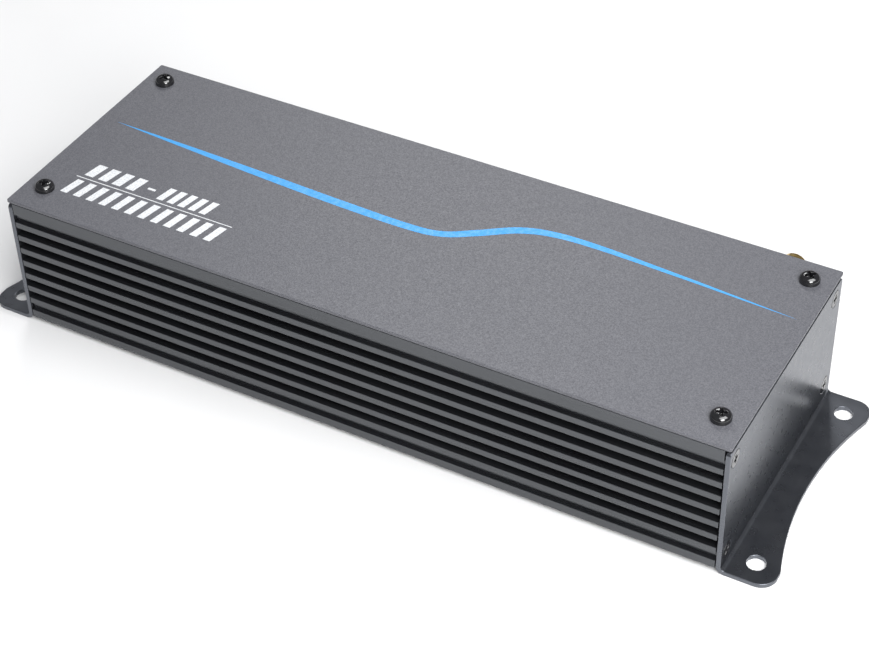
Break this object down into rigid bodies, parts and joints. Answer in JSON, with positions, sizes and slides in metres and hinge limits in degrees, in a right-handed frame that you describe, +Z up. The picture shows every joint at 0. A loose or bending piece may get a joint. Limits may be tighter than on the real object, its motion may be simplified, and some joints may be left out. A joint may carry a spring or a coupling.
{
  "type": "car amplifier",
  "caption": "Low rectangular car amplifier with a finned front wall, flat cover with a blue line, folded end brackets with mounting flanges, and connectors along the rear panel.",
  "frame": {"origin": "centre of the outline on the plane that the flanges rest on", "axes": "+X along the length, +Y towards the connectors, +Z up out of the cover; the fins face -Y"},
  "size_m": [0.2904, 0.1, 0.0543],
  "materials": {
    "extrusion": "black anodised, fine lengthwise die lines",
    "cover_coating": "dark grey fine-textured powder coat with a blue line and white marks",
    "bracket_coating": "black satin powder coat",
    "panel_coating": "black satin with plain white marks",
    "cast_zinc": "as cast",
    "black_screw": "glossy black oxide",
    "zinc_screw": "bright zinc plated",
    "board_laminate": "green solder mask",
    "black_moulding": "moulded, fine texture",
    "gilt": "gold plated",
    "plated_case": "tinned steel",
    "knob_moulding": "moulded, matt",
    "white_moulding": "moulded",
    "green_lens": "tinted clear",
    "red_lens": "tinted clear",
    "fuse_moulding": "tinted translucent",
    "epoxy": "moulded",
    "enamelled_copper": "enamelled winding",
    "can_sleeve": "shrunk sleeve"
  },
  "bodies": {
    "amplifier": {"chassis": "extrusion", "top_cover": "cover_coating", "left_end_bracket": "bracket_coating", "right_end_bracket": "bracket_coating", "rear_panel": "panel_coating", "left_rear_post": "cast_zinc", "right_rear_post": "cast_zinc", "cover_screw_left_front": "black_screw", "board_screw_left_front": "zinc_screw", "end_screw_left_front_top": "black_screw", "end_screw_left_front_bottom": "black_screw", "cover_screw_left_rear": "black_screw", "board_screw_left_rear": "zinc_screw", "end_screw_left_rear_top": "black_screw", "end_screw_left_rear_bottom": "black_screw", "panel_screw_left": "black_screw", "cover_screw_right_front": "black_screw", "board_screw_right_front": "zinc_screw", "end_screw_right_front_top": "black_screw", "end_screw_right_front_bottom": "black_screw", "cover_screw_right_rear": "black_screw", "board_screw_right_rear": "zinc_screw", "end_screw_right_rear_top": "black_screw", "end_screw_right_rear_bottom": "black_screw", "panel_screw_right": "black_screw", "circuit_board": "board_laminate", "input_jack_block": "black_moulding", "input_jack_shell_lower": "gilt", "input_jack_shell_upper": "gilt", "remote_level_socket": "black_moulding", "level_control_body": "plated_case", "crossover_control_body": "plated_case", "phase_switch_body": "plated_case", "filter_switch_body": "plated_case", "power_lamp": "green_lens", "protect_lamp": "red_lens", "fuse_holder": "black_moulding", "blade_fuse": "fuse_moulding", "speaker_terminal_block": "black_moulding", "speaker_clamp_screw_1": "zinc_screw", "speaker_clamp_screw_2": "zinc_screw", "power_terminal_block": "black_moulding", "power_clamp_screw_1": "zinc_screw", "power_clamp_screw_2": "zinc_screw", "power_clamp_screw_3": "zinc_screw", "power_transistor_1": "epoxy", "power_transistor_2": "epoxy", "power_transistor_3": "epoxy", "power_transistor_4": "epoxy", "transistor_clamp_bar": "plated_case", "clamp_bar_screw_1": "zinc_screw", "clamp_bar_screw_2": "zinc_screw", "supply_transformer": "enamelled_copper", "filter_capacitor_1": "can_sleeve", "filter_capacitor_2": "can_sleeve", "output_inductor": "enamelled_copper"},
    "level_knob": {"level_knob": "knob_moulding"},
    "crossover_knob": {"crossover_knob": "knob_moulding"},
    "phase_button": {"phase_switch_button": "white_moulding"},
    "filter_button": {"filter_switch_button": "white_moulding"}
  },
  "joints": [
    {"name": "level_turn", "type": "hinge", "parent": "amplifier", "child": "level_knob", "pos_m": [0.066, 0.039, 0.02695], "axis": [0, -1, 0], "range_deg": [-150, 150]},
    {"name": "crossover_turn", "type": "hinge", "parent": "amplifier", "child": "crossover_knob", "pos_m": [0.046, 0.039, 0.02695], "axis": [0, -1, 0], "range_deg": [-150, 150]},
    {"name": "phase_switch_slide", "type": "slide", "parent": "amplifier", "child": "phase_button", "axis": [1, 0, 0], "range_m": [0, 0.003]},
    {"name": "filter_switch_slide", "type": "slide", "parent": "amplifier", "child": "filter_button", "axis": [1, 0, 0], "range_m": [0, 0.003]}
  ]
}
